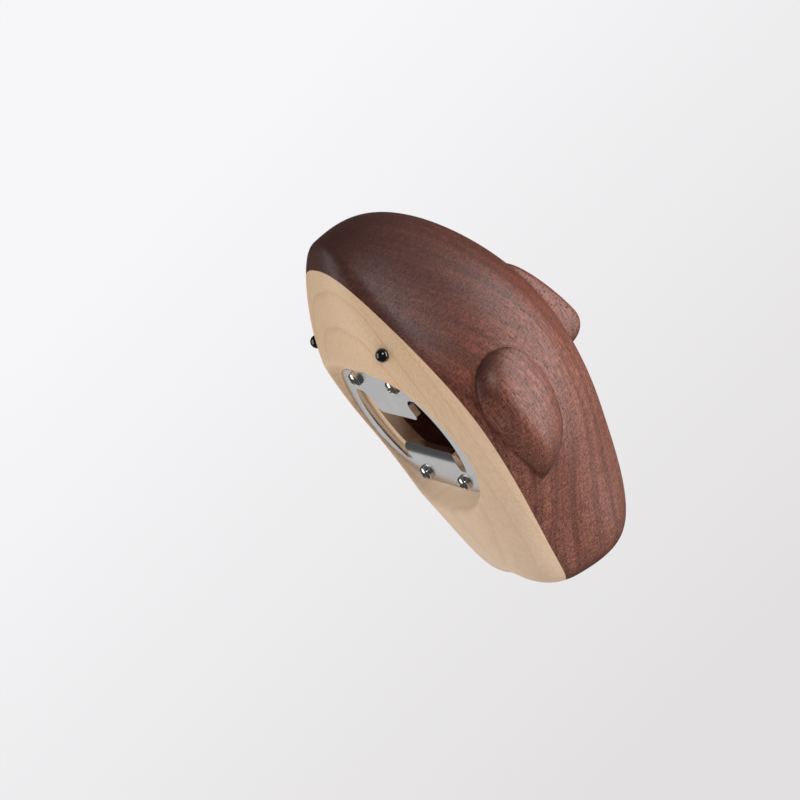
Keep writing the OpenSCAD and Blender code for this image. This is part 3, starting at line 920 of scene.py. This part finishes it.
def screw_profile():
    """(radius, height) of a screw over the plate's face: the domed head hangs below it."""
    dome_height = SCREW_HEAD_HEIGHT - SCREW_RIM_HEIGHT
    dome = [(SCREW_HEAD_RADIUS * math.sin(t), -SCREW_RIM_HEIGHT - dome_height * math.cos(t))
            for t in np.linspace(0, math.pi / 2, 14)]
    side = [(SCREW_HEAD_RADIUS, -SCREW_RIM_HEIGHT / 2), (SCREW_HEAD_RADIUS, 0.0), (SCREW_SHANK_RADIUS, 0.0)]
    core = SCREW_SHANK_RADIUS - THREAD_DEPTH / 2
    shank = [(core, h) for h in np.arange(THREAD_PITCH / 2, SCREW_LENGTH - 1, THREAD_PITCH / 8)]
    tip = [(SCREW_SHANK_RADIUS / 2, SCREW_LENGTH - SCREW_TIP_LENGTH), (0.0, SCREW_LENGTH)]
    return dome + side + shank + tip


def cross_cutter(turn):
    """Two crossed wedges that cut a cross recess, narrower towards the bottom."""
    work = bmesh.new()
    for quarter in (0, math.pi / 2):
        corners = []
        for z, (length, width) in ((CROSS_LOW, CROSS_MOUTH), (CROSS_HIGH, CROSS_BOTTOM)):
            for sx, sy in ((-1, -1), (1, -1), (1, 1), (-1, 1)):
                spot = Matrix.Rotation(turn + quarter, 3, "Z") @ Vector((sx * length, sy * width, z))
                corners.append(work.verts.new(spot))
        for face in ((3, 2, 1, 0), (4, 5, 6, 7), (0, 1, 5, 4), (1, 2, 6, 5), (2, 3, 7, 6), (3, 0, 4, 7)):
            work.faces.new([corners[i] for i in face])
    mesh = bpy.data.meshes.new("cross_cutter")
    bmesh.ops.recalc_face_normals(work, faces=work.faces)
    work.to_mesh(mesh)
    work.free()
    cutter = bpy.data.objects.new("cross_cutter", mesh)
    bpy.context.scene.collection.objects.link(cutter)
    return cutter


def cut_recess(head, turn):
    """The mesh of head with a cross recess cut into it."""
    cutter = cross_cutter(turn)
    cut = head.modifiers.new("cross", "BOOLEAN")
    cut.operation = "DIFFERENCE"
    cut.solver = "EXACT"
    cut.use_self = True
    cut.object = cutter
    bpy.context.view_layer.update()
    seen = head.evaluated_get(bpy.context.evaluated_depsgraph_get())
    mesh = bpy.data.meshes.new_from_object(seen)
    for used in (cutter, head):
        old = used.data
        bpy.data.objects.remove(used)
        bpy.data.meshes.remove(old)
    return mesh


def build_screw(name, x, y, turn):
    """A cross-head screw, made in millimetres so that the cut is exact, then scaled to metres."""
    points, faces = lathe(screw_profile(), 48, thread)
    mesh = bpy.data.meshes.new("screw_blank")
    mesh.from_pydata([tuple(float(c) for c in p) for p in points], [], faces)
    blank = bpy.data.objects.new("screw_blank", mesh)
    bpy.context.scene.collection.objects.link(blank)
    mesh = cut_recess(blank, turn)
    mesh.materials.clear()
    mesh.transform(Matrix.Translation((MM * x, MM * y, MM * PLATE_FACE_Z)) @ Matrix.Scale(MM, 4))
    piece = finish_piece(name + "_steel", mesh, SCREW_STEEL, 38)
    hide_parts(name)


# ---------------------------------------------------------------- eyes

def belly_normal(x, y):
    """Outward direction of the belly's skin."""
    step = 0.1
    ahead, behind, left, right = belly_z(
        np.array([x + step, x - step, x, x]), np.array([y, y, y + step, y - step]))
    return Vector(((ahead - behind) / (2 * step), (left - right) / (2 * step), -1)).normalized()


def build_eye(name, side):
    """A bead on a peg, set on the skin with half of it showing."""
    peg = EYE_RADIUS / 2
    start = -math.acos(peg / EYE_RADIUS)
    bead = [(EYE_RADIUS * math.cos(t), EYE_RADIUS * math.sin(t))
            for t in np.linspace(start, math.pi / 2, 26)]
    low, eased_edge = -EYE_PEG_LENGTH, 0.1
    profile = [(0, low), (peg - eased_edge, low), (peg, low + eased_edge)] + bead
    points, faces = lathe(profile, 56)
    x, y = EYE_X, side * EYE_Y
    z = float(belly_z(np.array([x]), np.array([y]))[0])
    turn = Vector((0, 0, 1)).rotation_difference(belly_normal(x, y))
    placed = [tuple(turn @ Vector(p) + Vector((x, y, z))) for p in points]
    piece = new_piece(name + "_bead", placed, faces, BEAD, 50)
    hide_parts(name)


build_walnut_back()
build_maple_belly()
build_dorsal_fin()
build_plate()
for index, (screw_name, screw_x, screw_y) in enumerate(screw_places()):
    build_screw(screw_name, screw_x, screw_y, math.radians(CROSS_TURN + CROSS_TURN_STEP * index))
build_eye("eye_left", 1)
build_eye("eye_right", -1)


# ---------------------------------------------------------------- camera, floor and light

# The camera stands in front of the left side, under the object, and is rolled by nearly half a
# right angle. Angles are in degrees, and its distance is from the point that it aims at.
CAMERA_AZIMUTH = 66.86
CAMERA_ELEVATION = -16.02
CAMERA_ROLL = 46.19
CAMERA_DISTANCE = 700
CAMERA_AIM = Vector((8.2, -3.9, 7.7))
LENS = 134.8
AMBIENT = 0.08
# The lights face this point
MIDDLE = Vector((0, 0, 24))
FLOOR_REACH = 3000


def camera_axes():
    """The camera's right, up and backward directions."""
    azimuth, elevation, roll = map(math.radians, (CAMERA_AZIMUTH, CAMERA_ELEVATION, CAMERA_ROLL))
    flat = Vector((math.cos(azimuth), math.sin(azimuth), 0))
    back = flat * math.cos(elevation) + Vector((0, 0, math.sin(elevation)))
    level = Vector((-math.sin(azimuth), math.cos(azimuth), 0))
    right = level * math.cos(roll) + back.cross(level) * math.sin(roll)
    return right, back.cross(right), back


CAMERA_RIGHT, CAMERA_UP, CAMERA_BACK = camera_axes()


def add_camera():
    """The camera that the main picture is taken with."""
    data = bpy.data.cameras.new("camera")
    data.lens = LENS
    data.sensor_width = 36
    data.clip_start = 0.01
    data.clip_end = 20
    camera = bpy.data.objects.new("camera", data)
    place = CAMERA_AIM + CAMERA_BACK * CAMERA_DISTANCE
    axes = Matrix((CAMERA_RIGHT, CAMERA_UP, CAMERA_BACK)).transposed()
    camera.matrix_world = Matrix.Translation(place * MM) @ axes.to_4x4()
    bpy.context.scene.collection.objects.link(camera)
    bpy.context.scene.camera = camera


def add_softbox(name, direction, distance, size, power, diffuse=True, glossy=True):
    """A rectangular light that faces the object: its size is in metres and its power in watts."""
    data = bpy.data.lights.new(name, "AREA")
    data.shape = "RECTANGLE"
    data.size, data.size_y = size
    data.energy = power
    light = bpy.data.objects.new(name, data)
    light.visible_diffuse = diffuse
    light.visible_glossy = glossy
    toward = direction.normalized()
    across = CAMERA_UP.cross(toward).normalized()
    axes = Matrix((across, toward.cross(across), toward)).transposed()
    light.matrix_world = Matrix.Translation((MIDDLE + toward * distance) * MM) @ axes.to_4x4()
    bpy.context.scene.collection.objects.link(light)


def from_camera(right, up, back):
    """A direction made of the camera's own."""
    return CAMERA_RIGHT * right + CAMERA_UP * up + CAMERA_BACK * back


def add_floor():
    """A wide pale floor, which the camera sees but the object doesn't."""
    mesh = bpy.data.meshes.new("floor")
    reach = MM * FLOOR_REACH
    corners = [(x * reach, y * reach, 0) for x, y in ((-1, -1), (1, -1), (1, 1), (-1, 1))]
    mesh.from_pydata(corners, [], [(0, 1, 2, 3)])
    floor = bpy.data.objects.new("floor", mesh)
    mesh.materials.append(pale_paper())
    bpy.context.scene.collection.objects.link(floor)
    floor.visible_shadow = False
    floor.visible_diffuse = False
    floor.visible_glossy = False


def add_world():
    """Faint even light, and a pale backdrop for the camera that shades across the picture."""
    world = bpy.data.worlds.new("studio")
    world.use_nodes = True
    tree = world.node_tree
    background = tree.nodes["Background"]
    background.inputs["Color"].default_value = (0.95, 0.945, 0.94, 1)
    background.inputs["Strength"].default_value = AMBIENT
    direction = node(tree, "ShaderNodeTexCoord").outputs["Generated"]
    slope = node(tree, "ShaderNodeVectorMath", {
        0: direction, 1: tuple(CAMERA_UP - CAMERA_RIGHT)}, operation="DOT_PRODUCT").outputs["Value"]
    shade = scaled_value(tree, slope, 0.0, 1.0, -0.2, 0.14)
    paper = ramp(tree, shade, ((0.0, srgb(226, 224, 225)), (1.0, srgb(247, 246, 248))))
    bright = node(tree, "ShaderNodeBackground", {"Color": paper, "Strength": 1.0})
    seen = node(tree, "ShaderNodeLightPath").outputs["Is Camera Ray"]
    either = node(tree, "ShaderNodeMixShader", {0: seen, 1: background.outputs[0], 2: bright.outputs[0]})
    tree.links.new(either.outputs[0], tree.nodes["World Output"].inputs[0])
    bpy.context.scene.world = world


add_camera()
add_floor()
add_world()
add_softbox("key_right", from_camera(0.85, 0.3, 0.12), 750, (0.7, 1.0), 10.0)
add_softbox("front", from_camera(0.08, 0.44, 0.89), 900, (0.35, 0.4), 2.9)
add_softbox("top", from_camera(0.1, 0.97, 0.2), 800, (0.8, 0.5), 1.1, glossy=False)
add_softbox("left", from_camera(-0.95, -0.1, 0.1), 800, (0.5, 0.8), 2.7)
add_softbox("left_behind", from_camera(-0.8, -0.4, -0.45), 800, (0.6, 0.8), 1.6, glossy=False)
add_softbox("below", from_camera(-0.05, -0.93, 0.35), 800, (0.9, 0.6), 3.6, glossy=False)
add_softbox("far_side", Vector((0.1, -0.95, 0.25)), 800, (0.6, 0.5), 5.0, glossy=False)
add_softbox("backdrop", from_camera(-0.134, -0.51, -0.842), 900, (0.7, 0.7), 0.85, diffuse=False)
bpy.context.scene.view_settings.view_transform = "Standard"
